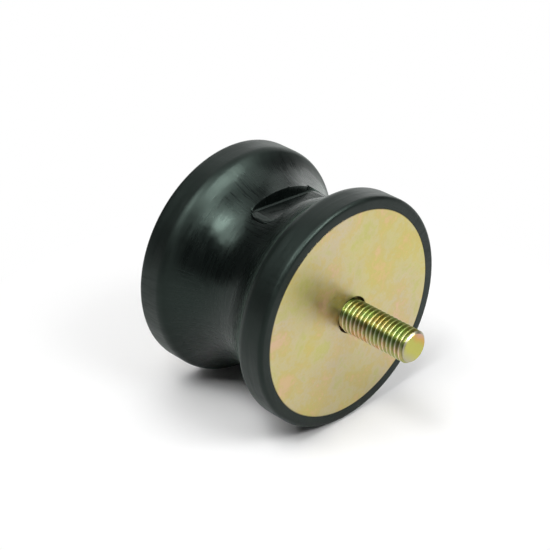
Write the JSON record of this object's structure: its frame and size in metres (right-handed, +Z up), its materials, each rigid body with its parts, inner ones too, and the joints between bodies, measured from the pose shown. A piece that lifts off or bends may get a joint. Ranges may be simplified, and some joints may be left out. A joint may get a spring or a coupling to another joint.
{
  "type": "bobbin vibration mount",
  "caption": "Waisted round rubber vibration mount with a flush steel plate and a threaded stud at each end, and a sunken number pad on its waist.",
  "frame": {"origin": "middle of the rubber body, on its axis", "axes": "+Y along the axis, towards the rear stud; +Z up, with the number pad near the top of the waist when the bobbin lies on its rims; +X to the right"},
  "size_m": [0.07, 0.098, 0.07],
  "materials": {
    "black_rubber": "moulded, semi-matt",
    "yellow_zinc_plate": "yellow zinc passivated, satin",
    "yellow_zinc_stud": "yellow zinc passivated, semi-bright"
  },
  "bodies": {
    "root": {"rubber_body": "black_rubber", "front_plate": "yellow_zinc_plate", "rear_plate": "yellow_zinc_plate", "front_stud": "yellow_zinc_stud", "rear_stud": "yellow_zinc_stud"}
  },
  "joints": []
}
